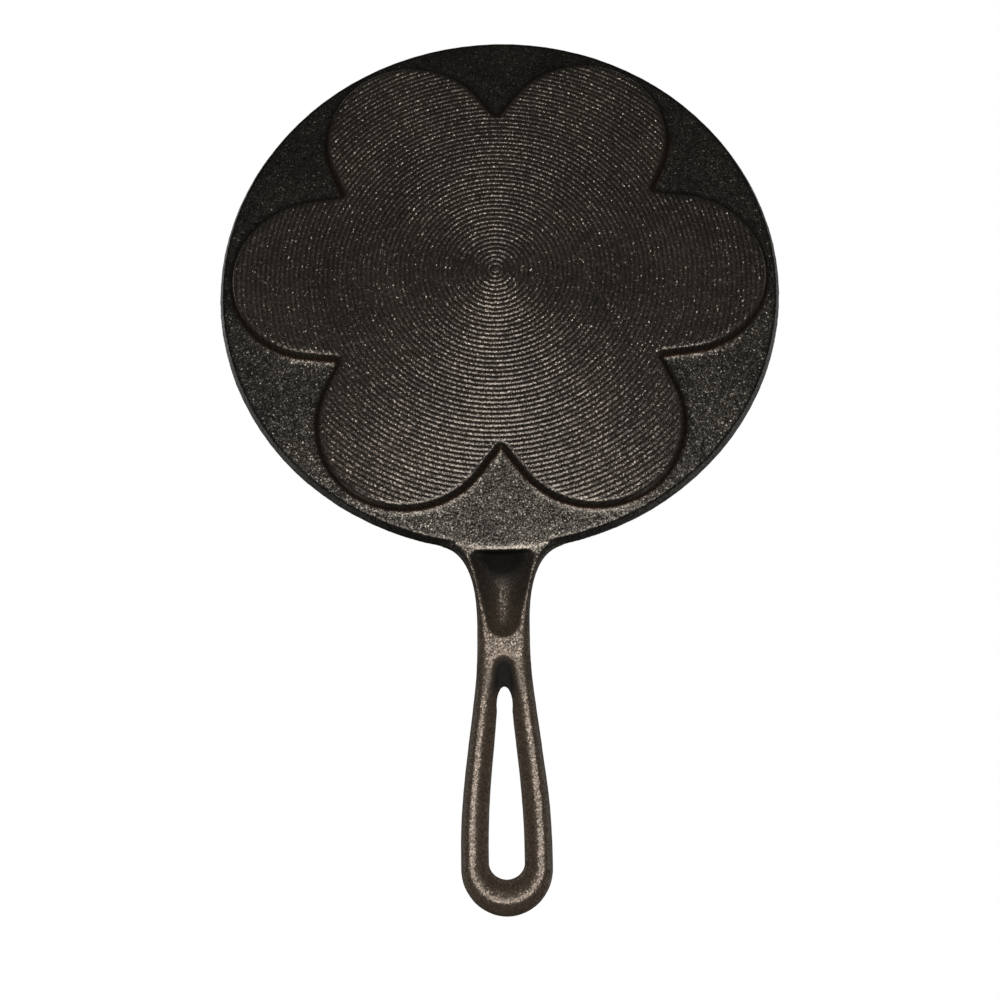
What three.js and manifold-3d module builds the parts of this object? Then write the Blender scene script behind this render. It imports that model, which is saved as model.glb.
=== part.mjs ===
// A cast iron plett pan: a round plate with seven small pancake wells and one handle.
// Millimetres, +Z up, as the pan stands in use: the wells open upwards, the handle runs along -Y,
// and the origin is the middle of the turned face that stands on the stove.
// The real pan is one casting. Its four regions are separate solids here, which meet on flat planes.
import * as THREE from 'three';
import { mergeVertices } from 'three/addons/utils/BufferGeometryUtils.js';
import Module from 'manifold-3d';

// Plate
const plateDiameter = 229;
const plateThickness = 5;
const rimDraft = 1.5;
const rimLowerRound = 1.3;
const rimUpperRound = 1;

// Wells
const wellPitch = 73;
const wellMouth = 67;
const wellDepth = 5;
const wellDraftAngle = 20;
const wellFloorFillet = 2;
const wellLipRound = 0.7;
const outerWells = 6;

// Flower shaped pad under the wells, turned flat to stand on the stove
const padHeight = 4;
const padMargin = 0.5;
const padDraftAngle = 24;
const padFootRise = 0.9;
const padFootRun = 2.6;
const notchFlankAngle = 36.6;
const notchFillet = 2.3;
const leastFilletShare = 0.1;
const turnedDepth = 2.5;

// Handle, with its distances measured outwards from the rim of the plate
const handleLength = 131.4;
const handleRise = 6.5;
const ribSetback = 0.3;
const barHeight = 8;
const apronRun = 19;
const apronHalfWidth = 12.6;
const apronSink = 0.2;
const flareHalfWidth = 23.7;
const flareLead = 9;
const waistHalfWidth = 10;
const waistReach = 27.5;
const waistLead = 18;
const crownHalfWidth = 6;
const flatLimitShare = 0.9;

// Loop at the end of the handle: two round rods that part at the bridge and join at the end
const partingReach = 35;
const rodHeightAtBridge = 7.9;
const rodHeight = 8.6;
const rodWidthAtBridge = 8.4;
const rodWidthAtSide = 9.8;
const rodSpread = 11.6;
const loopWidth = 32.6;
const loopStraight = 6.5;
const endWallWidth = 12.1;

// Web between the rods, with a dimple in both its faces that opens into the eye
const eyeReach = 50.9;
const eyeTopRun = 7;
const eyeTopHalfWidth = 3.1;
const webHalfWidth = 5;
const webEdgeHeight = 2.4;
const dimpleReach = 39.5;
const dimpleHalfWidth = 6;
const dimpleTipHalfWidth = 4.4;
const dimpleTipDepth = 2.4;
const dimpleTipRun = 5;

// Scoop cast into the underside of the neck
const scoopStart = 0.4;
const scoopReach = 33.5;
const scoopHalfWidth = 13.2;
const scoopTipHalfWidth = 6.8;
const scoopTipRun = 8;
const scoopDepth = 5.4;
const scoopTipDepth = 3.8;
const ribLand = 0.3;

// Section of a scoop or dimple: 2 is a parabola, and more gives softer edges and a narrower floor
const gougePower = 2.6;
const gougeSink = 0.15;

// One overrun for all cuts, larger than any piece is thick
const overrun = 40;

// Steps of the round stretches
const plateSteps = 96;
const wellSteps = 48;
const petalSteps = 20;
const filletSteps = 4;
const edgeSteps = 1;
const quarterSteps = 6;
const neckSteps = 12;
const rodSteps = 20;
const gougeSteps = 6;
const gougeTurns = 32;
const eyeSteps = 8;

const plateRadius = plateDiameter / 2;
const plateTop = padHeight + plateThickness;
const rad = THREE.MathUtils.degToRad;

const wasm = await Module();
wasm.setup();

// A closed geometry as a solid that can be joined and cut.
function solid(geometry) {
  const bare = geometry.clone();
  bare.deleteAttribute('normal');
  bare.deleteAttribute('uv');
  const merged = mergeVertices(bare);
  const vertProperties = new Float32Array(merged.attributes.position.array);
  const triVerts = new Uint32Array(merged.index.array);
  return new wasm.Manifold(new wasm.Mesh({ numProp: 3, vertProperties, triVerts }));
}

// A solid back as a named mesh with its finish.
function meshOf(name, body, material) {
  const { vertProperties, triVerts } = body.getMesh();
  const geometry = new THREE.BufferGeometry();
  geometry.setAttribute('position', new THREE.BufferAttribute(vertProperties, 3));
  geometry.setIndex(new THREE.BufferAttribute(triVerts, 1));
  geometry.computeVertexNormals();
  const mesh = new THREE.Mesh(geometry, material);
  mesh.name = name;
  return mesh;
}

// A block between two corners, for slicing the casting into its regions.
function block(low, high) {
  const size = high.clone().sub(low);
  const middle = high.clone().add(low).multiplyScalar(1 / 2);
  return solid(new THREE.BoxGeometry(size.x, size.y, size.z).translate(middle.x, middle.y, middle.z));
}

// A closed body through a row of rings with equal numbers of points. The rings run
// anticlockwise as seen from the last ring, and a closed row joins its last ring to its first.
function loft(rings, closed) {
  const count = rings[0].length;
  const positions = rings.flat().flatMap((point) => [point.x, point.y, point.z]);
  const indices = [];
  const spans = closed ? rings.length : rings.length - 1;
  for (let i = 0; i < spans; i += 1) {
    const below = i * count;
    const above = ((i + 1) % rings.length) * count;
    for (let j = 0; j < count; j += 1) {
      const next = (j + 1) % count;
      indices.push(below + j, below + next, above + next);
      indices.push(below + j, above + next, above + j);
    }
  }
  if (!closed) {
    const last = (rings.length - 1) * count;
    for (const [a, b, c] of capTriangles(rings[0])) {
      indices.push(a, c, b);
    }
    for (const [a, b, c] of capTriangles(rings[rings.length - 1])) {
      indices.push(last + a, last + b, last + c);
    }
  }
  const geometry = new THREE.BufferGeometry();
  geometry.setAttribute('position', new THREE.Float32BufferAttribute(positions, 3));
  geometry.setIndex(indices);
  return geometry;
}

// The triangles that close a flat ring, square to Z or to Y, whichever it is flat along.
function capTriangles(ring) {
  const level = ring.every((point) => point.z === ring[0].z);
  const flat = ring.map((point) => new THREE.Vector2(point.x, level ? point.y : point.z));
  return THREE.ShapeUtils.triangulateShape(flat, []);
}

// Plate: a plain disc whose rim leans outwards to its widest line, just under the cooking side.
function plateDisc() {
  const flatEdge = plateRadius - rimDraft - rimLowerRound;
  const profile = new THREE.Path();
  profile.moveTo(0, padHeight);
  profile.lineTo(flatEdge, padHeight);
  profile.absarc(flatEdge, padHeight + rimLowerRound, rimLowerRound, rad(-90), 0, false);
  profile.lineTo(plateRadius, plateTop - rimUpperRound);
  profile.absarc(plateRadius - rimUpperRound, plateTop - rimUpperRound, rimUpperRound, 0, rad(90), false);
  profile.lineTo(0, plateTop);
  return turned(profile, edgeSteps, plateSteps);
}

// A profile of radius and height, turned about the upright axis.
function turned(profile, steps, turns) {
  const points = profile.getPoints(steps);
  return new THREE.LatheGeometry(points, turns).rotateX(rad(90));
}

// Well: the space that one small pancake fills, from its flat floor out through its mouth.
function wellSpace() {
  const mouth = wellMouth / 2;
  const floor = plateTop - wellDepth;
  const lean = Math.tan(rad(wellDraftAngle));
  const floorRadius = mouth - wellDepth * lean;
  const fillet = Math.min(wellFloorFillet, wellDepth / 2);
  const lip = Math.min(wellLipRound, wellDepth / 3);
  const turn = rad(90 - wellDraftAngle);
  const set = Math.tan(turn / 2);
  const profile = new THREE.Path();
  profile.moveTo(0, floor);
  profile.lineTo(floorRadius - fillet * set, floor);
  profile.absarc(floorRadius - fillet * set, floor + fillet, fillet, rad(-90), rad(-90) + turn, false);
  profile.absarc(mouth + lip * set, plateTop - lip, lip, rad(180) - rad(wellDraftAngle), rad(90), true);
  profile.lineTo(mouth + lip * set, plateTop + overrun);
  profile.lineTo(0, plateTop + overrun);
  return turned(profile, edgeSteps, wellSteps);
}

// Pad outline: six round petals, one under each outer well, with a filleted V between them.
// It can be grown outwards by an even amount for the draft of the wall.
function flowerOutline(grow) {
  const step = rad(360 / outerWells);
  const flank = rad(notchFlankAngle);
  const petalRadius = wellMouth / 2 + padMargin + grow;
  const across = wellPitch * Math.cos(step / 2);
  const aside = wellPitch * Math.sin(step / 2);
  const apex = across + (petalRadius - aside * Math.cos(flank)) / Math.sin(flank);
  const fillet = Math.max(notchFillet - grow, notchFillet * leastFilletShare);
  const filletMiddle = apex + fillet / Math.sin(flank);
  const petalEnd = step / 2 + rad(90) - flank;
  const points = [];
  for (let k = 0; k < outerWells; k += 1) {
    const axis = k * step;
    const notchAxis = axis + step / 2;
    const petal = polar(new THREE.Vector2(), wellPitch, axis);
    const notch = polar(new THREE.Vector2(), filletMiddle, notchAxis);
    for (let i = 0; i <= petalSteps; i += 1) {
      const angle = axis - petalEnd + (2 * petalEnd * i) / petalSteps;
      points.push(polar(petal, petalRadius, angle));
    }
    for (let i = 0; i <= filletSteps; i += 1) {
      const sweep = rad(90) - flank;
      const angle = notchAxis + rad(180) + sweep - (2 * sweep * i) / filletSteps;
      points.push(polar(notch, fillet, angle));
    }
  }
  return points;
}

// A point at a radius and an angle from a middle.
function polar(middle, radius, angle) {
  return new THREE.Vector2(middle.x + radius * Math.cos(angle), middle.y + radius * Math.sin(angle));
}

// Pad: its wall leans outwards from the turned face and runs out under the plate in a long fillet.
function pad() {
  const lean = Math.tan(rad(padDraftAngle));
  const rise = Math.min(padFootRise, padHeight / 3);
  const wall = new THREE.Path();
  wall.moveTo(0, 0);
  wall.lineTo((padHeight - rise) * lean, padHeight - rise);
  wall.quadraticCurveTo(padHeight * lean, padHeight, padHeight * lean + padFootRun, padHeight);
  wall.lineTo(padHeight * lean + padFootRun, padHeight + plateThickness / 2);
  const levels = wall.getPoints(filletSteps);
  const ringAt = (level) => flowerOutline(level.x).map((p) => new THREE.Vector3(p.x, p.y, level.y));
  return loft(levels.map(ringAt), false);
}

// Handle: its parts are made about its middle plane, and then lifted onto its rising curve.
function lifted(geometry) {
  const place = geometry.attributes.position;
  const middle = padHeight + ribSetback + barHeight / 2;
  for (let i = 0; i < place.count; i += 1) {
    const reach = Math.max(-place.getY(i) - plateRadius, 0) / handleLength;
    place.setZ(i, place.getZ(i) + middle + handleRise * reach * reach);
  }
  return geometry;
}

// A value that runs smoothly from one to another between two places.
function eased(place, start, end, from, to) {
  return from + (to - from) * THREE.MathUtils.smoothstep(place, start, end);
}

// Distance from the middle of the plate to where the flares of the neck leave the rim.
function rootReach() {
  return Math.sqrt(plateRadius ** 2 - flareHalfWidth ** 2);
}

// Side of the neck in plan, as half width and distance from the middle of the plate: up the apron,
// along the flare that leaves the rim without a corner, in to the waist and on to the top of the eye.
function neckSide() {
  const root = rootReach();
  const waistY = plateRadius + waistReach;
  const dimpleY = plateRadius + dimpleReach;
  const eyeY = plateRadius + eyeReach + eyeTopRun;
  const thin = (eyeY - dimpleY) / 3;
  const side = new THREE.Path();
  side.moveTo(apronHalfWidth, plateRadius - apronRun);
  side.quadraticCurveTo(apronHalfWidth, root - flareLead, flareHalfWidth, root);
  side.bezierCurveTo(
    flareHalfWidth - (flareLead * root) / plateRadius,
    root + (flareLead * flareHalfWidth) / plateRadius,
    waistHalfWidth,
    waistY - waistLead,
    waistHalfWidth,
    waistY
  );
  side.lineTo(waistHalfWidth, dimpleY);
  side.bezierCurveTo(waistHalfWidth, dimpleY + thin, webHalfWidth, eyeY - thin, webHalfWidth, eyeY);
  return side.getPoints(neckSteps);
}

// One section of the neck: a bar with rounded sides, flat from crest to crest above and below.
function neckSection(halfWidth, y, topFlat, topHeight, lowFlat, lowHeight) {
  const ring = [];
  const corners = [[1, 1], [-1, 1], [-1, -1], [1, -1]];
  for (const [sideways, upright] of corners) {
    const flat = upright > 0 ? topFlat : lowFlat;
    const height = upright > 0 ? topHeight : lowHeight;
    const climbs = sideways === upright;
    const count = climbs ? quarterSteps + 1 : quarterSteps;
    for (let i = 0; i < count; i += 1) {
      const angle = rad(90) * (climbs ? i : quarterSteps - i) / quarterSteps;
      const x = flat + (halfWidth - flat) * Math.cos(angle);
      ring.push(new THREE.Vector3(sideways * x, -y, upright * height * Math.sin(angle)));
    }
  }
  return ring;
}

// Neck: above, its apron climbs from the plate to the full height, and below, its crests follow
// the edges of the scoop.
function neckBar() {
  const full = barHeight / 2;
  const hidden = plateTop - apronSink - (padHeight + ribSetback + full);
  const scoopTip = plateRadius + scoopReach;
  const ribCrest = scoopHalfWidth + ribLand;
  const rings = neckSide().map((point) => {
    const halfWidth = point.x;
    const y = point.y;
    const widest = halfWidth * flatLimitShare;
    const crest = THREE.MathUtils.mapLinear(y, plateRadius, scoopTip, ribCrest, crownHalfWidth);
    const lowFlat = Math.min(Math.max(crest, crownHalfWidth), widest);
    const topFlat = Math.min(crownHalfWidth, widest);
    const climbed = eased(y, plateRadius - apronRun, plateRadius, hidden, full);
    return neckSection(halfWidth, y, topFlat, climbed, lowFlat, full);
  });
  return loft(rings, false);
}

// Centre line of the rods in plan: round the bridge, out along one side, round the end and back.
function rodLine() {
  const apart = rodSpread / 2;
  const wide = (loopWidth - rodWidthAtSide) / 2;
  const bridge = plateRadius + partingReach;
  const end = endMiddle();
  const side = end - loopStraight;
  const ease = (side - bridge) / 3;
  const line = new THREE.Path();
  line.moveTo(apart, -bridge);
  line.bezierCurveTo(apart, -bridge - ease, wide, -side + ease, wide, -side);
  line.lineTo(wide, -end);
  line.absarc(0, -end, wide, 0, rad(-180), true);
  line.lineTo(-wide, -side);
  line.bezierCurveTo(-wide, -side + ease, -apart, -bridge - ease, -apart, -bridge);
  line.absarc(0, -bridge, apart, rad(180), 0, true);
  return line.getPoints(neckSteps).slice(0, -1);
}

// Distance from the middle of the plate to the middle of the round end.
function endMiddle() {
  return plateRadius + handleLength - endWallWidth / 2 - (loopWidth - rodWidthAtSide) / 2;
}

// Rods: an oval section carried round the centre line, widest across the end wall.
function rods() {
  const line = rodLine();
  const bridge = plateRadius + partingReach;
  const end = endMiddle();
  const side = end - loopStraight;
  const wide = (loopWidth - rodWidthAtSide) / 2;
  const rings = line.map((point, k) => {
    const before = line[(k + line.length - 1) % line.length];
    const after = line[(k + 1) % line.length];
    const along = after.clone().sub(before).normalize();
    const across = new THREE.Vector2(-along.y, along.x);
    const round = Math.max(-point.y - end, 0) / wide;
    const sideWidth = eased(-point.y, bridge, side, rodWidthAtBridge, rodWidthAtSide);
    const halfWidth = (sideWidth + (endWallWidth - rodWidthAtSide) * round) / 2;
    const halfHeight = eased(-point.y, bridge, side, rodHeightAtBridge, rodHeight) / 2;
    const ring = [];
    for (let i = 0; i < rodSteps; i += 1) {
      const angle = rad(360) * i / rodSteps;
      const reach = halfWidth * Math.cos(angle);
      const x = point.x + across.x * reach;
      const y = point.y + across.y * reach;
      ring.push(new THREE.Vector3(x, y, halfHeight * Math.sin(angle)));
    }
    return ring;
  });
  return loft(rings, true);
}

// A long hollow along +Y, from a flat end to a round tip. Its section has soft edges and a narrow
// floor, and it tapers in width and depth towards the tip.
function gouge(reach, tipRun, halfWidth, tipHalfWidth, depth, tipDepth) {
  const shoulder = 1 - Math.min(tipRun / reach, 1 / 2);
  const profile = new THREE.Path();
  profile.moveTo(0, 0);
  profile.lineTo(1, 0);
  profile.lineTo(1, shoulder);
  profile.absellipse(0, shoulder, 1, 1 - shoulder, 0, rad(90), false);
  const hollow = new THREE.LatheGeometry(profile.getPoints(gougeSteps), gougeTurns);
  const place = hollow.attributes.position;
  for (let i = 0; i < place.count; i += 1) {
    const share = Math.min(place.getY(i) / shoulder, 1);
    const wide = THREE.MathUtils.lerp(halfWidth, tipHalfWidth, share);
    const deep = THREE.MathUtils.lerp(depth, tipDepth, share) + gougeSink;
    const level = Math.sign(place.getZ(i)) * Math.abs(place.getZ(i)) ** gougePower;
    place.setXYZ(i, place.getX(i) * wide, place.getY(i) * reach, level * deep);
  }
  return hollow;
}

// Scoop: deepest at a straight wall beside the rim, and rising to its round tip.
function scoop() {
  const reach = scoopReach - scoopStart;
  const tipHalf = scoopTipHalfWidth;
  const hollow = gouge(reach, scoopTipRun, scoopHalfWidth, tipHalf, scoopDepth, scoopTipDepth);
  return hollow.rotateZ(rad(180)).translate(0, -plateRadius - scoopStart, -barHeight / 2 - gougeSink);
}

// Dimple, in the face below or above: it opens into the eye, and narrows and rises towards the
// bridge.
function dimple(face) {
  const reach = eyeReach + eyeTopRun - dimpleReach;
  const depth = (barHeight - webEdgeHeight) / 2;
  const hollow = gouge(reach, dimpleTipRun, dimpleHalfWidth, dimpleTipHalfWidth, depth, dimpleTipDepth);
  return hollow.translate(0, -plateRadius - eyeReach - eyeTopRun, face * (barHeight / 2 + gougeSink));
}

// Top of the eye: the round head of its drop shape, cut through the web.
function eyeTop() {
  const outline = new THREE.Shape();
  const middle = -plateRadius - eyeReach - eyeTopRun;
  outline.absellipse(0, middle, eyeTopHalfWidth, eyeTopRun, 0, rad(360), false);
  const settings = { depth: 2 * overrun, bevelEnabled: false, curveSegments: eyeSteps };
  return new THREE.ExtrudeGeometry(outline, settings).translate(0, 0, -overrun);
}

// The whole casting, joined and hollowed as one.
function casting() {
  let handle = solid(lifted(neckBar())).add(solid(lifted(rods())));
  handle = handle.subtract(solid(lifted(scoop())));
  handle = handle.subtract(solid(lifted(dimple(-1))));
  handle = handle.subtract(solid(lifted(dimple(1))));
  handle = handle.subtract(solid(eyeTop()));
  let body = solid(plateDisc()).add(solid(pad())).add(handle);
  const well = wellSpace();
  body = body.subtract(solid(well));
  for (let k = 0; k < outerWells; k += 1) {
    const angle = rad(360) * k / outerWells;
    const x = wellPitch * Math.cos(angle);
    const y = wellPitch * Math.sin(angle);
    body = body.subtract(solid(well.clone().translate(x, y, 0)));
  }
  return body;
}

const asCast = new THREE.MeshStandardMaterial({ color: 0x2e2924, roughness: 0.62, metalness: 0.55 });
const asTurned = new THREE.MeshStandardMaterial({ color: 0x3a332b, roughness: 0.5, metalness: 0.65 });

// The casting is sliced into its regions on flat planes: across the pad, across the root of the
// handle where its flares leave the rim, and across the bridge.
const whole = casting();
const farOut = plateDiameter + handleLength + overrun;
const root = -rootReach();
const bridge = -plateRadius - partingReach;
const corner = (x, y, z) => new THREE.Vector3(x, y, z);
const baseBlock = block(corner(-farOut, -farOut, -overrun), corner(farOut, farOut, turnedDepth));
const plateBlock = block(corner(-farOut, root, turnedDepth), corner(farOut, farOut, farOut));
const neckBlock = block(corner(-farOut, bridge, turnedDepth), corner(farOut, root, farOut));
const loopBlock = block(corner(-farOut, -farOut, turnedDepth), corner(farOut, bridge, farOut));

const pan = new THREE.Group();
pan.name = 'plett_pan';
pan.add(meshOf('well_plate', whole.intersect(plateBlock), asCast));
pan.add(meshOf('turned_base', whole.intersect(baseBlock), asTurned));
pan.add(meshOf('handle_neck', whole.intersect(neckBlock), asCast));
pan.add(meshOf('handle_loop', whole.intersect(loopBlock), asCast));

export default pan;
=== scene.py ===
"""A cast iron plett pan, seen from below as in the photograph. Metres, in the model's frame."""

import math

import bpy
from mathutils import Matrix, Vector


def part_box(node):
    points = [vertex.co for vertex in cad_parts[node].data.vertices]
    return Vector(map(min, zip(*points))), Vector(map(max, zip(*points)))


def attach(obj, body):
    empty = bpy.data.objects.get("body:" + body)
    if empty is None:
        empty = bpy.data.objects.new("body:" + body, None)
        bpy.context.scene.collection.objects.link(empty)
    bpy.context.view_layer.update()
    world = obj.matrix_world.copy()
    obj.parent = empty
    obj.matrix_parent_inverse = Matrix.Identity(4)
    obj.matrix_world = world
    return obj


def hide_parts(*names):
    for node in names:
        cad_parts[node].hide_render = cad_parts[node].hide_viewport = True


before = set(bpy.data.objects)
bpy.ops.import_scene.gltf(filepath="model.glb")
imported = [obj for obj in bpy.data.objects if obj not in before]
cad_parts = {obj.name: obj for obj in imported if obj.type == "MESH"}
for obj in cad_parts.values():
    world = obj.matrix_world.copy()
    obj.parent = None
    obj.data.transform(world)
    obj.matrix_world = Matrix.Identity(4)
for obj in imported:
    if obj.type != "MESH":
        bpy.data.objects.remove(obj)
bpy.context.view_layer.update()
mm = 0.001

# ---------------------------------------------------------------------------
# Camera. It stands below the pan, on the handle's side, and looks up at the turned face.
# Its place and tilt come from the turned rings, which are round and evenly spaced.
picture_right = Vector((-0.99979, -0.01280, 0.01616))
picture_up = Vector((-0.01694, 0.95694, -0.28979))
forwards = Vector((0.01176, 0.29001, 0.95695))
camera_data = bpy.data.cameras.new("camera")
camera_data.lens = 41.79
camera_data.sensor_width = 36
camera_data.clip_start = 0.01
camera = bpy.data.objects.new("camera", camera_data)
camera.location = (-4.6 * mm, -223.8 * mm, -421.2 * mm)
camera.rotation_euler = Matrix((picture_right, picture_up, -forwards)).transposed().to_euler()
bpy.context.scene.collection.objects.link(camera)
bpy.context.scene.camera = camera


# ---------------------------------------------------------------------------
# Casting. Plate, wells, neck and loop are one piece of grey iron, cast in sand and never ground
# outside. Every edge and corner is softened by the sand, and no skin of it is quite flat.
seam_weld = 0.002 * mm
casting_voxel = 0.6 * mm
casting_softening = 4
casting_waviness = 0.2 * mm
casting_wave_length = 14 * mm
casting_triangles = 190000
turned_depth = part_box("turned_base")[1].z


def pick(obj):
    """Leaves only this object selected and active."""
    bpy.ops.object.select_all(action="DESELECT")
    obj.select_set(True)
    bpy.context.view_layer.objects.active = obj


def add_object(name, mesh):
    obj = bpy.data.objects.new(name, mesh)
    bpy.context.scene.collection.objects.link(obj)
    return obj


def apply_all(obj):
    """Applies the modifiers of an object in their order."""
    pick(obj)
    for modifier in list(obj.modifiers):
        bpy.ops.object.modifier_apply(modifier=modifier.name)


def combine(obj, other, operation):
    """Joins an object with another one or keeps what they share. The other one is used up."""
    boolean = obj.modifiers.new("combine", "BOOLEAN")
    boolean.operation = operation
    boolean.solver = "EXACT"
    boolean.object = other
    apply_all(obj)
    bpy.data.objects.remove(other)


def region_copy(name):
    """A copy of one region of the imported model, with its loose triangles merged."""
    copy = add_object(name + "_copy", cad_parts[name].data.copy())
    pick(copy)
    bpy.ops.object.mode_set(mode="EDIT")
    bpy.ops.mesh.select_all(action="SELECT")
    bpy.ops.mesh.remove_doubles(threshold=seam_weld)
    bpy.ops.object.mode_set(mode="OBJECT")
    return copy


casting = region_copy("well_plate")
casting.name = "casting"
for region in ("turned_base", "handle_neck", "handle_loop"):
    combine(casting, region_copy(region), "UNION")

# The plate's underside runs on to the scoop in a worn lip, which is a slice of a flat cone. The
# cone's top is pulled up into the plate, so that the lip is joined to it.
pad_height = 4 * mm
lip_radius = 114.0 * mm
lip_wear_run = 1.1 * mm
lip_wear_rise = 0.25 * mm
lip_depth = 4 * mm
lip_slice = (36 * mm, 16 * mm, 20 * mm)
lip_segments = 360
facing_up = 0.99
bpy.ops.object.select_all(action="DESELECT")
bpy.ops.mesh.primitive_cone_add(
    vertices=lip_segments,
    radius1=lip_radius - lip_wear_run,
    radius2=lip_radius,
    depth=lip_wear_rise,
    location=(0, 0, 0),
)
lip = bpy.context.object
lip.data.transform(Matrix.Translation((0, 0, pad_height + lip_wear_rise / 2)))
for face in lip.data.polygons:
    face.select = face.normal.z > facing_up
bpy.ops.object.mode_set(mode="EDIT")
bpy.ops.mesh.select_mode(type="FACE")
bpy.ops.mesh.extrude_region_move(TRANSFORM_OT_translate={"value": (0, 0, lip_depth)})
bpy.ops.mesh.select_mode(type="VERT")
bpy.ops.object.mode_set(mode="OBJECT")
bpy.ops.object.select_all(action="DESELECT")
bpy.ops.mesh.primitive_cube_add(size=1, location=(0, 0, 0))
slice_box = bpy.context.object
slice_box.data.transform(
    Matrix.Translation((0, -lip_radius, pad_height)) @ Matrix.Diagonal((*lip_slice, 1))
)
combine(lip, slice_box, "INTERSECT")
combine(casting, lip, "UNION")

skin = casting.modifiers.new("skin", "REMESH")
skin.mode = "VOXEL"
skin.voxel_size = casting_voxel
apply_all(casting)

# The rods of the loop come to a ridge below, a little outwards of their middle, with a long flank
# towards the eye. Each point of their skin is moved to that section, across and in height.
# They are made a little fuller too, by what the softening takes off them.
plate_radius = 114.5 * mm
handle_length = 131.4 * mm
handle_rise = 6.5 * mm
middle_height = 8.3 * mm
bridge = 149.5 * mm
ridge_start = bridge + 8 * mm
ridge_end = bridge + 26 * mm
straight = 221.95 * mm
bend = 228.45 * mm
bend_radius = 11.4 * mm
rod_apart = 5.8 * mm
rod_widths = (8.4 * mm, 9.8 * mm, 12.1 * mm)
rod_heights = (7.9 * mm, 8.6 * mm)
rod_limit = 1.15
ridge_offset = 0.2
ridge_half_width = 0.18
ridge_narrowing = 0.8
ridge_sharpness = 1.5
flank_fullness = 0.8
rod_growth = 1.06
end_growth_inside = 1.16
end_growth_outside = 1.02


def smooth_share(value, start, end):
    """How far a value has come from start to end, from 0 to 1, with soft ends."""
    share = min(max((value - start) / (end - start), 0), 1)
    return share * share * (3 - 2 * share)


for vertex in casting.data.vertices:
    x, y, z = vertex.co
    if -y < bridge:
        continue
    share = smooth_share(-y, bridge, straight)
    half_width = (rod_widths[0] + (rod_widths[1] - rod_widths[0]) * share) / 2
    half_height = (rod_heights[0] + (rod_heights[1] - rod_heights[0]) * share) / 2
    spine = Vector((math.copysign(rod_apart + (bend_radius - rod_apart) * share, x), y))
    outwards = Vector((math.copysign(1, x), 0))
    turned_share = 0
    if -y > bend:
        turned_share = min((-y - bend) / bend_radius, 1)
        half_width += (rod_widths[2] - rod_widths[1]) / 2 * turned_share
        outwards = Vector((x, y + bend)).normalized()
        spine = Vector((0, -bend)) + bend_radius * outwards
    across = (Vector((x, y)) - spine).dot(outwards)
    place = across / half_width
    if abs(place) > rod_limit:
        continue
    amount = smooth_share(-y, ridge_start, ridge_end)
    end_growth = end_growth_inside if place < 0 else end_growth_outside
    grown = rod_growth + (end_growth - rod_growth) * turned_share
    shift = outwards * across * (grown - 1) * amount
    middle = middle_height + handle_rise * ((-y - plate_radius) / handle_length) ** 2
    if z < middle:
        reach = (1 - ridge_offset) if place > ridge_offset else (1 + ridge_offset)
        crest = ridge_half_width * (1 - ridge_narrowing * turned_share)
        away = min(max(abs(place - ridge_offset) - crest, 0) / (reach - crest), 1)
        depth = half_height * (1 - away**ridge_sharpness) ** flank_fullness
        z += (middle - depth - z) * amount
    vertex.co = (x + shift.x, y + shift.y, z)

soften = casting.modifiers.new("soften", "SMOOTH")
soften.factor = 0.5
soften.iterations = casting_softening
waves = bpy.data.textures.new("sand waves", "CLOUDS")
waves.noise_scale = casting_wave_length
waves.noise_depth = 2
sink = casting.modifiers.new("sink", "DISPLACE")
sink.texture = waves
sink.texture_coords = "LOCAL"
sink.strength = casting_waviness
sink.mid_level = 1
apply_all(casting)

# The lower part of the pad belongs to the turned base.
pick(casting)
bpy.ops.object.mode_set(mode="EDIT")
bpy.ops.mesh.select_all(action="SELECT")
bpy.ops.mesh.bisect(
    plane_co=(0, 0, turned_depth), plane_no=(0, 0, 1), use_fill=True, clear_inner=True
)
bpy.ops.mesh.select_all(action="SELECT")
bpy.ops.mesh.normals_make_consistent(inside=False)
bpy.ops.object.mode_set(mode="OBJECT")
casting.data.calc_loop_triangles()
thin = casting.modifiers.new("thin", "DECIMATE")
thin.ratio = min(1, casting_triangles / len(casting.data.loop_triangles))
apply_all(casting)
pick(casting)
bpy.ops.object.shade_smooth()


def linear(code):
    """An sRGB hex colour as the linear values that a shader takes."""
    parts = [int(code[i : i + 2], 16) / 255 for i in (1, 3, 5)]
    return tuple(c / 12.92 if c <= 0.04045 else ((c + 0.055) / 1.055) ** 2.4 for c in parts) + (1,)


def add_node(tree, kind, links=None, **settings):
    """Adds a shader node. A link fills an input by name or number with a value or an output."""
    node = tree.nodes.new(kind)
    for name, value in settings.items():
        setattr(node, name, value)
    for name, value in (links or {}).items():
        if isinstance(value, bpy.types.NodeSocket):
            tree.links.new(value, node.inputs[name])
        else:
            node.inputs[name].default_value = value
    return node


def new_material(name):
    """An empty material, with the node tree to fill."""
    material = bpy.data.materials.new(name)
    material.use_nodes = True
    material.node_tree.nodes.clear()
    return material, material.node_tree


def patina_tone(tree, place, patch_size, dark, light):
    """A dark and a lighter tone in slow patches, as oxide and burnt oil leave them."""
    patches = add_node(
        tree,
        "ShaderNodeTexNoise",
        {"Vector": place, "Scale": 1 / patch_size, "Detail": 3.0, "Roughness": 0.6},
    )
    tone = add_node(tree, "ShaderNodeValToRGB", {"Fac": patches.outputs["Fac"]})
    for end, position, code in zip(tone.color_ramp.elements, (0.35, 0.65), (dark, light)):
        end.position = position
        end.color = linear(code)
    return tone.outputs["Color"]


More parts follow.
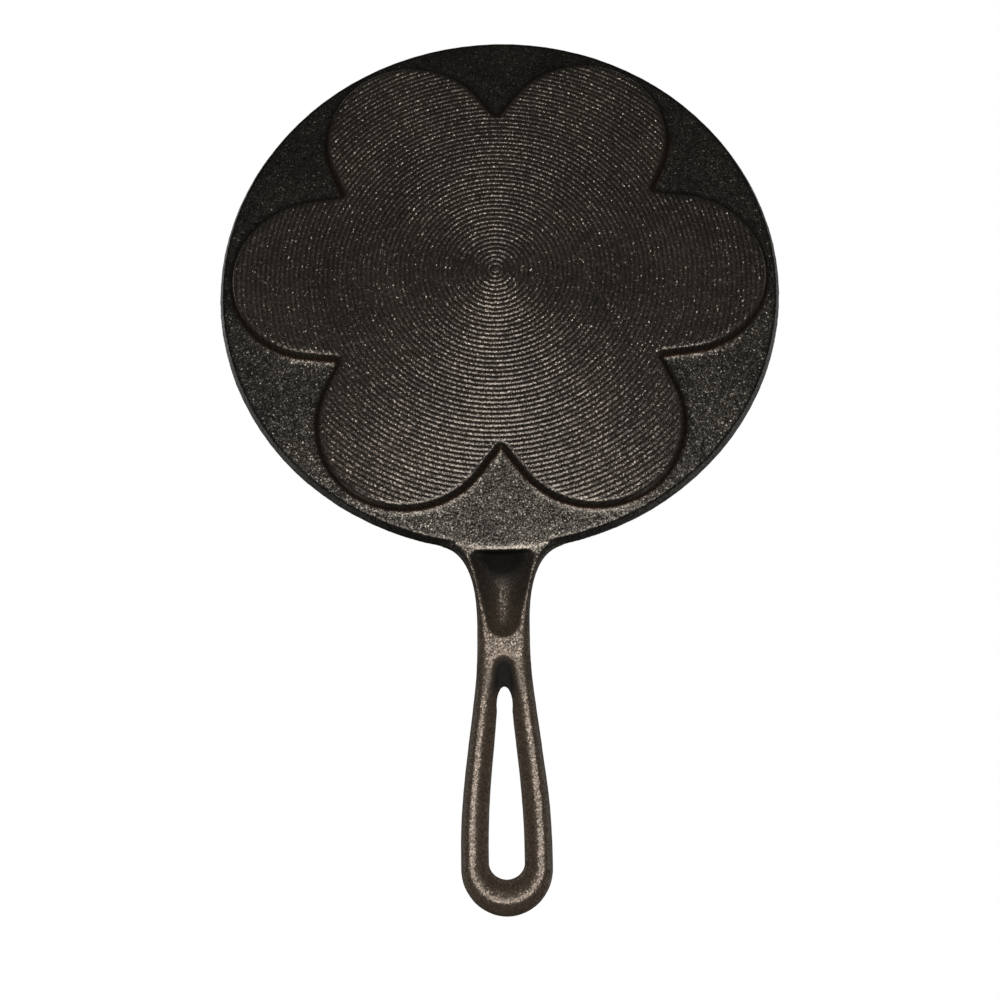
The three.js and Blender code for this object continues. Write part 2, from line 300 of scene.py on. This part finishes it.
def grain_facets(tree, place, grain_size, skin_normal, least_lean, most_lean):
    """Grains with a shade and a lean of their own, a few of which lean the most and flash.

    It gives the grain's shade and its leaned normal.
    """
    rarity = 5.0
    grain = add_node(tree, "ShaderNodeTexVoronoi", {"Vector": place, "Scale": 1 / grain_size})
    parts = add_node(tree, "ShaderNodeSeparateXYZ", {"Vector": grain.outputs["Color"]})
    chance = parts.outputs["Z"]
    shade = add_node(tree, "ShaderNodeMapRange", {"Value": chance, "To Min": 0.55, "To Max": 1.45})
    way = add_node(
        tree,
        "ShaderNodeVectorMath",
        {0: grain.outputs["Color"], 1: (0.5, 0.5, 0.5)},
        operation="SUBTRACT",
    )
    rare = add_node(tree, "ShaderNodeMath", {0: chance, 1: rarity}, operation="POWER")
    lean = add_node(
        tree,
        "ShaderNodeMapRange",
        {"Value": rare.outputs["Value"], "To Min": least_lean, "To Max": most_lean},
    )
    tilt = add_node(
        tree,
        "ShaderNodeVectorMath",
        {0: way.outputs["Vector"], "Scale": lean.outputs["Result"]},
        operation="SCALE",
    )
    leaned = add_node(
        tree, "ShaderNodeVectorMath", {0: skin_normal, 1: tilt.outputs["Vector"]}, operation="ADD"
    )
    facet = add_node(
        tree, "ShaderNodeVectorMath", {0: leaned.outputs["Vector"]}, operation="NORMALIZE"
    )
    return shade.outputs["Result"], facet.outputs["Vector"]


# Seasoned sand cast iron: black oxide and burnt oil over a grainy skin. It is dark and satin, and
# each grain lies at an angle of its own, so that those that face the light flash. The sand's
# grains are about 0.3 mm, drawn at 0.45 mm so that they show. The scoop and the dimple are
# darkened with painted shade and made matt, rust brown shows at the foot of the pad, the rim's
# lower edge carries a painted highlight, and the handle is browner and duller from the hand.
def seasoned_casting():
    grain_size = 0.45 * mm
    pit_size = 2.6 * mm
    pit_depth = 0.3 * mm
    patch_size = 22 * mm
    hand_start, hand_full = -108 * mm, -150 * mm
    foot_start, foot_full = 3.9 * mm, 3.3 * mm
    crest_height, floor_height = 5.0 * mm, 6.8 * mm
    shade_end, top_height = 10.5 * mm, 11.5 * mm
    scoop_shade_spot = ((0, -115 * mm, 8 * mm), 14 * mm, 0.85)
    dimple_shade_spot = ((0, -160 * mm, 7 * mm), 12 * mm, 0.9)
    rim_edge, rim_band = 113.7 * mm, 0.6 * mm
    highlight_start, highlight_full = 5.4 * mm, 4.8 * mm
    material, tree = new_material("seasoned sand cast iron")
    place = add_node(tree, "ShaderNodeTexCoord").outputs["Object"]
    parts = add_node(tree, "ShaderNodeSeparateXYZ", {"Vector": place})
    height = parts.outputs["Z"]

    # Colour: patches of oxide, browner on the handle and rusty at the pad's foot.
    handled = add_node(
        tree,
        "ShaderNodeMapRange",
        {"Value": parts.outputs["Y"], "From Min": hand_start, "From Max": hand_full},
    )
    tone = patina_tone(tree, place, patch_size, "#373430", "#44403a")
    brown = add_node(
        tree,
        "ShaderNodeMix",
        {0: handled.outputs["Result"], 6: tone, 7: linear("#4b4035")},
        data_type="RGBA",
    )
    foot = add_node(
        tree,
        "ShaderNodeMapRange",
        {"Value": height, "From Min": foot_start, "From Max": foot_full, "To Max": 0.6},
    )
    rusty = add_node(
        tree,
        "ShaderNodeMix",
        {0: foot.outputs["Result"], 6: brown.outputs[2], 7: linear("#5c4030")},
        data_type="RGBA",
    )

    # Painted shade: the colour is darkened between two heights, in a round spot in the scoop and
    # one in the dimple.
    above_crest = add_node(
        tree,
        "ShaderNodeMapRange",
        {"Value": height, "From Min": crest_height, "From Max": floor_height},
    )
    below_top = add_node(
        tree, "ShaderNodeMapRange", {"Value": height, "From Min": top_height, "From Max": shade_end}
    )
    inside = add_node(
        tree,
        "ShaderNodeMath",
        {0: above_crest.outputs["Result"], 1: below_top.outputs["Result"]},
        operation="MULTIPLY",
    )
    spots = []
    for middle, reach, darkness in (scoop_shade_spot, dimple_shade_spot):
        away = add_node(tree, "ShaderNodeVectorMath", {0: place, 1: middle}, operation="DISTANCE")
        spot = add_node(
            tree,
            "ShaderNodeMapRange",
            {
                "Value": away.outputs["Value"],
                "From Min": reach,
                "From Max": reach * 0.5,
                "To Max": darkness,
            },
        )
        spots.append(spot.outputs["Result"])
    near = add_node(tree, "ShaderNodeMath", {0: spots[0], 1: spots[1]}, operation="MAXIMUM")
    hollow_shade = add_node(
        tree,
        "ShaderNodeMath",
        {0: inside.outputs["Value"], 1: near.outputs["Value"]},
        operation="MULTIPLY",
    )
    unshaded = add_node(
        tree, "ShaderNodeMath", {0: 1.0, 1: hollow_shade.outputs["Value"]}, operation="SUBTRACT"
    )

    # Painted highlight: the colour of a band along the rim's lower edge is made brighter.
    flat = add_node(
        tree, "ShaderNodeVectorMath", {0: place, 1: (1, 1, 0)}, operation="MULTIPLY"
    )
    radius = add_node(
        tree, "ShaderNodeVectorMath", {0: flat.outputs["Vector"]}, operation="LENGTH"
    )
    at_edge = add_node(
        tree,
        "ShaderNodeMath",
        {0: radius.outputs["Value"], 1: rim_edge, 2: rim_band},
        operation="COMPARE",
    )
    low_enough = add_node(
        tree, "ShaderNodeMapRange", {"Value": height, "From Min": highlight_start, "From Max": highlight_full}
    )
    rim_highlight_band = add_node(
        tree,
        "ShaderNodeMath",
        {0: at_edge.outputs["Value"], 1: low_enough.outputs["Result"]},
        operation="MULTIPLY",
    )
    rim_highlight = add_node(
        tree,
        "ShaderNodeMapRange",
        {"Value": rim_highlight_band.outputs["Value"], "To Min": 1.0, "To Max": 1.8},
    )

    # Skin: shallow pits, which carry the grain.
    pits = add_node(
        tree,
        "ShaderNodeTexNoise",
        {"Vector": place, "Scale": 1 / pit_size, "Detail": 2.0, "Roughness": 0.6},
    )
    pitted = add_node(
        tree,
        "ShaderNodeBump",
        {"Height": pits.outputs["Fac"], "Strength": 0.4, "Distance": pit_depth},
    )
    grain_shade, normal = grain_facets(
        tree, place, grain_size, pitted.outputs["Normal"], least_lean=0.28, most_lean=0.45
    )
    bright = add_node(
        tree, "ShaderNodeMath", {0: grain_shade, 1: rim_highlight.outputs["Result"]}, operation="MULTIPLY"
    )
    shade = add_node(
        tree,
        "ShaderNodeMath",
        {0: bright.outputs["Value"], 1: unshaded.outputs["Value"]},
        operation="MULTIPLY",
    )
    colour = add_node(
        tree,
        "ShaderNodeVectorMath",
        {0: rusty.outputs[2], "Scale": shade.outputs["Value"]},
        operation="SCALE",
    )
    satin = add_node(
        tree,
        "ShaderNodeMapRange",
        {
            "Value": pits.outputs["Fac"],
            "From Min": 0.3,
            "From Max": 0.7,
            "To Min": 0.35,
            "To Max": 0.41,
        },
    )
    # The mask of the painted shade also raises the roughness in the scoop and the dimple.
    rough = add_node(
        tree,
        "ShaderNodeMath",
        {0: hollow_shade.outputs["Value"], 1: 0.55, 2: satin.outputs["Result"]},
        operation="MULTIPLY_ADD",
    )
    metal = add_node(
        tree,
        "ShaderNodeMapRange",
        {"Value": handled.outputs["Result"], "To Min": 0.93, "To Max": 0.5},
    )
    shader = add_node(
        tree,
        "ShaderNodeBsdfPrincipled",
        {
            "Base Color": colour.outputs["Vector"],
            "Roughness": rough.outputs["Value"],
            "Normal": normal,
            "Metallic": metal.outputs["Result"],
        },
    )
    add_node(tree, "ShaderNodeOutputMaterial", {"Surface": shader.outputs["BSDF"]})
    return material


casting.data.materials.clear()
casting.data.materials.append(seasoned_casting())
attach(casting, "root")
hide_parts("well_plate", "handle_neck", "handle_loop")


# ---------------------------------------------------------------------------
# Turned base. The lower part of the pad, faced on a lathe with a coarse feed: even, slightly
# crowned rings with a narrow groove between each two. The pan sat a little off centre in the chuck.
feed = 1.943 * mm
rings = 57
groove_width = 0.7 * mm
groove_depth = 0.23 * mm
land_crown = 0.13 * mm
ring_middle = Vector((1.17 * mm, 1.41 * mm, 0))
ring_steps = 240
spin_weld = 0.001 * mm
crease_angle = math.radians(40)
well_pitch = 73 * mm
petals = 6
petal_degrees = 60
petal_radius = 34 * mm
notch_flank = math.radians(36.6)
notch_fillet = 2.3 * mm
least_fillet = 0.23 * mm
wall_lean = math.tan(math.radians(24))
petal_points = 48
fillet_points = 6


def flower_point(grow, share):
    """A point of the grown outline, at a share of the way round one petal and its notch."""
    step = math.radians(petal_degrees)
    radius = petal_radius + grow
    fillet = max(notch_fillet - grow, least_fillet)
    apex = well_pitch * math.cos(step / 2) + (
        radius - well_pitch * math.sin(step / 2) * math.cos(notch_flank)
    ) / math.sin(notch_flank)
    middle = apex + fillet / math.sin(notch_flank)
    petal_end = step / 2 + math.pi / 2 - notch_flank
    if share < petal_points:
        angle = petal_end * (2 * share / (petal_points - 1) - 1)
        return well_pitch + radius * math.cos(angle), radius * math.sin(angle)
    sweep = math.pi / 2 - notch_flank
    turn = step / 2 + math.pi + sweep * (1 - 2 * (share - petal_points) / (fillet_points - 1))
    return (
        middle * math.cos(step / 2) + fillet * math.cos(turn),
        middle * math.sin(step / 2) + fillet * math.sin(turn),
    )


def flower_ring(grow, z):
    """The whole outline of the pad, grown outwards, at one height."""
    points = []
    for petal in range(petals):
        angle = math.radians(petal_degrees * petal)
        c, s = math.cos(angle), math.sin(angle)
        for share in range(petal_points + fillet_points):
            x, y = flower_point(grow, share)
            points.append(Vector((x * c - y * s, x * s + y * c, z)))
    return points


# The pad as a prism with a worn edge: a flat ring, shaped point by point, then extruded level by
# level and leaned out. Each level is how far it is grown and its height.
levels = [
    (-1.6 * mm, -1 * mm),
    (-1.5 * mm, 0),
    (-0.65 * mm, 0.19 * mm),
    (-0.15 * mm, 0.36 * mm),
    (0.14 * mm, 0.52 * mm),
    (0.75 * mm * wall_lean, 0.75 * mm),
    (turned_depth * wall_lean, turned_depth),
]
first_lift = 0.1 * mm
bpy.ops.object.select_all(action="DESELECT")
bpy.ops.mesh.primitive_circle_add(
    vertices=petals * (petal_points + fillet_points), radius=petal_radius, fill_type="NGON"
)
prism = bpy.context.object
prism.name = "prism"
for grow, height in levels:
    raised = [v for v in prism.data.vertices if v.select]
    for vertex, point in zip(raised, flower_ring(grow, height)):
        vertex.co = point
    if height < turned_depth:
        bpy.ops.object.mode_set(mode="EDIT")
        bpy.ops.mesh.extrude_region_move(TRANSFORM_OT_translate={"value": (0, 0, first_lift)})
        bpy.ops.object.mode_set(mode="OBJECT")
bpy.ops.object.mode_set(mode="EDIT")
bpy.ops.mesh.select_all(action="SELECT")
bpy.ops.mesh.normals_make_consistent(inside=False)
bpy.ops.object.mode_set(mode="OBJECT")

# The turned disc: half of its section, spun about the middle of the rings.
profile = [(0, 0)]
for ring in range(1, rings + 1):
    edge = ring * feed
    profile += [
        (edge - feed / 2, 0),
        (edge - (feed + groove_width) / 4, land_crown / 4),
        (edge - groove_width / 2, land_crown),
        (edge, groove_depth),
        (edge + groove_width / 2, land_crown),
        (edge + (feed + groove_width) / 4, land_crown / 4),
    ]
disc_radius = profile[-1][0] + feed
profile += [(disc_radius, 0), (disc_radius, turned_depth), (0, turned_depth)]
section = bpy.data.meshes.new("turned_base")
section.from_pydata(
    [(ring_middle.x + r, ring_middle.y, z) for r, z in profile],
    [(i, i + 1) for i in range(len(profile) - 1)],
    [],
)
turned = add_object("turned_base_face", section)
pick(turned)
bpy.ops.object.mode_set(mode="EDIT")
bpy.ops.mesh.select_all(action="SELECT")
bpy.ops.mesh.spin(steps=ring_steps, angle=2 * math.pi, center=ring_middle, axis=(0, 0, 1))
bpy.ops.mesh.select_all(action="SELECT")
bpy.ops.mesh.remove_doubles(threshold=spin_weld)
bpy.ops.mesh.normals_make_consistent(inside=False)
bpy.ops.object.mode_set(mode="OBJECT")
combine(turned, prism, "INTERSECT")
pick(turned)
bpy.ops.object.shade_smooth_by_angle(angle=crease_angle)


# Seasoned turned iron: the same black skin over cut metal, a little browner than the casting.
# The rings are grainy and flash, and the grooves are darkened with painted shade. The grain is
# drawn at 0.5 mm so that it shows.
def seasoned_turning():
    grain_size = 0.5 * mm
    patch_size = 30 * mm
    groove_shade_full, groove_shade_end = groove_width * 0.15, groove_width * 0.45
    material, tree = new_material("seasoned turned iron")
    place = add_node(tree, "ShaderNodeTexCoord").outputs["Object"]
    tone = patina_tone(tree, place, patch_size, "#3a3530", "#474039")
    flat = add_node(
        tree, "ShaderNodeVectorMath", {0: place, 1: (1, 1, 0)}, operation="MULTIPLY"
    )
    radius = add_node(
        tree,
        "ShaderNodeVectorMath",
        {0: flat.outputs["Vector"], 1: ring_middle},
        operation="DISTANCE",
    )
    from_groove = add_node(
        tree, "ShaderNodeMath", {0: radius.outputs["Value"], 1: feed / 2}, operation="PINGPONG"
    )
    # Painted shade: the colour is darkened towards the middle of each groove.
    groove_shade = add_node(
        tree,
        "ShaderNodeMapRange",
        {
            "Value": from_groove.outputs["Value"],
            "From Min": groove_shade_full,
            "From Max": groove_shade_end,
            "To Min": 0.5,
            "To Max": 1.0,
        },
    )
    skin_normal = add_node(tree, "ShaderNodeNewGeometry").outputs["Normal"]
    grain_shade, normal = grain_facets(
        tree, place, grain_size, skin_normal, least_lean=0.24, most_lean=0.6
    )
    shade = add_node(
        tree, "ShaderNodeMath", {0: grain_shade, 1: groove_shade.outputs["Result"]}, operation="MULTIPLY"
    )
    colour = add_node(
        tree,
        "ShaderNodeVectorMath",
        {0: tone, "Scale": shade.outputs["Value"]},
        operation="SCALE",
    )
    shader = add_node(
        tree,
        "ShaderNodeBsdfPrincipled",
        {
            "Base Color": colour.outputs["Vector"],
            "Roughness": 0.34,
            "Normal": normal,
            "Metallic": 0.75,
        },
    )
    add_node(tree, "ShaderNodeOutputMaterial", {"Surface": shader.outputs["BSDF"]})
    return material


turned.data.materials.clear()
turned.data.materials.append(seasoned_turning())
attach(turned, "root")
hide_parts("turned_base")


# ---------------------------------------------------------------------------
# Floor. A pale floor under the turned face, shown only from above: the photograph looks up from
# below it. It takes the pan's shadow, lets every other ray pass and fades out into the distance.
floor_size = 20
floor_drop = 0.1 * mm
floor_near = 0.6
floor_far = 2.2


def add_plane(name, size, transform):
    """A plane made at the origin, with its points moved to their place."""
    bpy.ops.object.select_all(action="DESELECT")
    bpy.ops.mesh.primitive_plane_add(size=size, location=(0, 0, 0))
    plane = bpy.context.object
    plane.name = name
    plane.data.transform(transform)
    return plane


def pale_floor_paint():
    material, tree = new_material("pale floor paint")
    underneath = add_node(tree, "ShaderNodeNewGeometry").outputs["Backfacing"]
    camera_ray = add_node(tree, "ShaderNodeLightPath").outputs["Is Camera Ray"]
    from_above = add_node(
        tree, "ShaderNodeMath", {0: 1.0, 1: underneath}, operation="SUBTRACT"
    )
    place = add_node(tree, "ShaderNodeTexCoord").outputs["Object"]
    away = add_node(tree, "ShaderNodeVectorMath", {0: place}, operation="LENGTH")
    fade = add_node(
        tree,
        "ShaderNodeMapRange",
        {
            "Value": away.outputs["Value"],
            "From Min": floor_near,
            "From Max": floor_far,
            "To Min": 1.0,
            "To Max": 0.0,
        },
        interpolation_type="SMOOTHSTEP",
    )
    seen = add_node(
        tree,
        "ShaderNodeMath",
        {0: camera_ray, 1: from_above.outputs["Value"]},
        operation="MULTIPLY",
    )
    shown = add_node(
        tree,
        "ShaderNodeMath",
        {0: seen.outputs["Value"], 1: fade.outputs["Result"]},
        operation="MULTIPLY",
    )
    paint = add_node(tree, "ShaderNodeBsdfDiffuse", {"Color": linear("#e6e5e3")})
    clear = add_node(tree, "ShaderNodeBsdfTransparent")
    mix = add_node(
        tree,
        "ShaderNodeMixShader",
        {0: shown.outputs["Value"], 1: clear.outputs["BSDF"], 2: paint.outputs["BSDF"]},
    )
    add_node(tree, "ShaderNodeOutputMaterial", {"Surface": mix.outputs["Shader"]})
    return material


floor = add_plane("floor", floor_size, Matrix.Translation((0, 0, -floor_drop)))
floor.data.materials.append(pale_floor_paint())


# ---------------------------------------------------------------------------
# Light. A soft box below on the handle's side, in an open topped tent of black cards, and a card
# high on that side and one over the pan: only the iron's gloss sees them. Softer light from above
# falls on the cooking side. The room is white, over a black ground that only diffuse rays see.
def soft_box(name, place, target, size, radiance):
    data = bpy.data.lights.new(name, "AREA")
    data.shape = "RECTANGLE"
    data.size = size
    data.size_y = size
    data.energy = radiance * math.pi * size * size
    lamp = bpy.data.objects.new(name, data)
    lamp.location = place
    lamp.rotation_euler = (Vector(target) - Vector(place)).to_track_quat("-Z", "Y").to_euler()
    bpy.context.scene.collection.objects.link(lamp)


soft_box("handle side soft box", (0, -0.33, -1.2), (0, -0.06, 0), size=0.4, radiance=37)
soft_box("upper soft box", (-0.7, -0.6, 1.3), (0, 0, 0), size=1.0, radiance=2.0)
soft_box("upper fill", (0.9, 0.8, 1.1), (0, 0, 0), size=1.2, radiance=0.8)

tent_middle = (0, -0.06, -0.55)
tent_half_size = (1.0, 1.0, 0.85)
card_middle = (0, -1.06, 0.95)
card_size = (1.6, 1.3)
canopy_middle = (0, -0.15, 0.4)
canopy_size = (1.1, 1.2)
ground_drop = 1.5
ground_size = 30
black_paint = bpy.data.materials.new("black card")
black_paint.use_nodes = True
black_inputs = black_paint.node_tree.nodes["Principled BSDF"].inputs
black_inputs["Base Color"].default_value = linear("#0a0a0a")
black_inputs["Roughness"].default_value = 1.0


def blacken(obj, *hidden):
    """Gives a stage object the black paint and hides it from these kinds of ray."""
    obj.data.materials.append(black_paint)
    for kind in hidden:
        setattr(obj, "visible_" + kind, False)


bpy.ops.object.select_all(action="DESELECT")
bpy.ops.mesh.primitive_cube_add(size=2, location=(0, 0, 0))
tent = bpy.context.object
tent.name = "black_tent"
bpy.ops.object.mode_set(mode="EDIT")
bpy.ops.mesh.select_all(action="DESELECT")
bpy.ops.object.mode_set(mode="OBJECT")
for face in tent.data.polygons:
    face.select = face.normal.z > facing_up
bpy.ops.object.mode_set(mode="EDIT")
bpy.ops.mesh.delete(type="FACE")
bpy.ops.object.mode_set(mode="OBJECT")
tent.data.transform(Matrix.Translation(tent_middle) @ Matrix.Diagonal((*tent_half_size, 1)))
blacken(tent, "camera", "diffuse", "shadow")

card = add_plane(
    "black_card",
    1,
    Matrix.Translation(card_middle)
    @ Matrix.Rotation(math.radians(90), 4, "X")
    @ Matrix.Diagonal((*card_size, 1, 1)),
)
blacken(card, "camera", "diffuse", "shadow")

canopy = add_plane(
    "black_canopy",
    1,
    Matrix.Translation(canopy_middle) @ Matrix.Diagonal((*canopy_size, 1, 1)),
)
blacken(canopy, "camera", "diffuse", "shadow")

ground = add_plane("black_ground", ground_size, Matrix.Translation((0, 0, -ground_drop)))
blacken(ground, "camera", "glossy", "shadow")

# The white room lights the iron's own colour a little less than its gloss.
room_diffuse = 0.75
room_seen = 1.0
world = bpy.data.worlds.new("white room")
bpy.context.scene.world = world
world.use_nodes = True
world_tree = world.node_tree
world_tree.nodes.clear()
ray = add_node(world_tree, "ShaderNodeLightPath")
seen = add_node(
    world_tree,
    "ShaderNodeMath",
    {0: ray.outputs["Is Camera Ray"], 1: ray.outputs["Is Glossy Ray"]},
    operation="MAXIMUM",
)
seen_or_through = add_node(
    world_tree,
    "ShaderNodeMath",
    {0: seen.outputs["Value"], 1: ray.outputs["Is Transmission Ray"]},
    operation="MAXIMUM",
)
level = add_node(
    world_tree,
    "ShaderNodeMapRange",
    {"Value": seen_or_through.outputs["Value"], "To Min": room_diffuse, "To Max": room_seen},
)
white = add_node(
    world_tree,
    "ShaderNodeBackground",
    {"Color": (1, 1, 1, 1), "Strength": level.outputs["Result"]},
)
add_node(world_tree, "ShaderNodeOutputWorld", {"Surface": white.outputs["Background"]})
world.cycles.sampling_method = "NONE"

bpy.context.scene.view_settings.view_transform = "Standard"
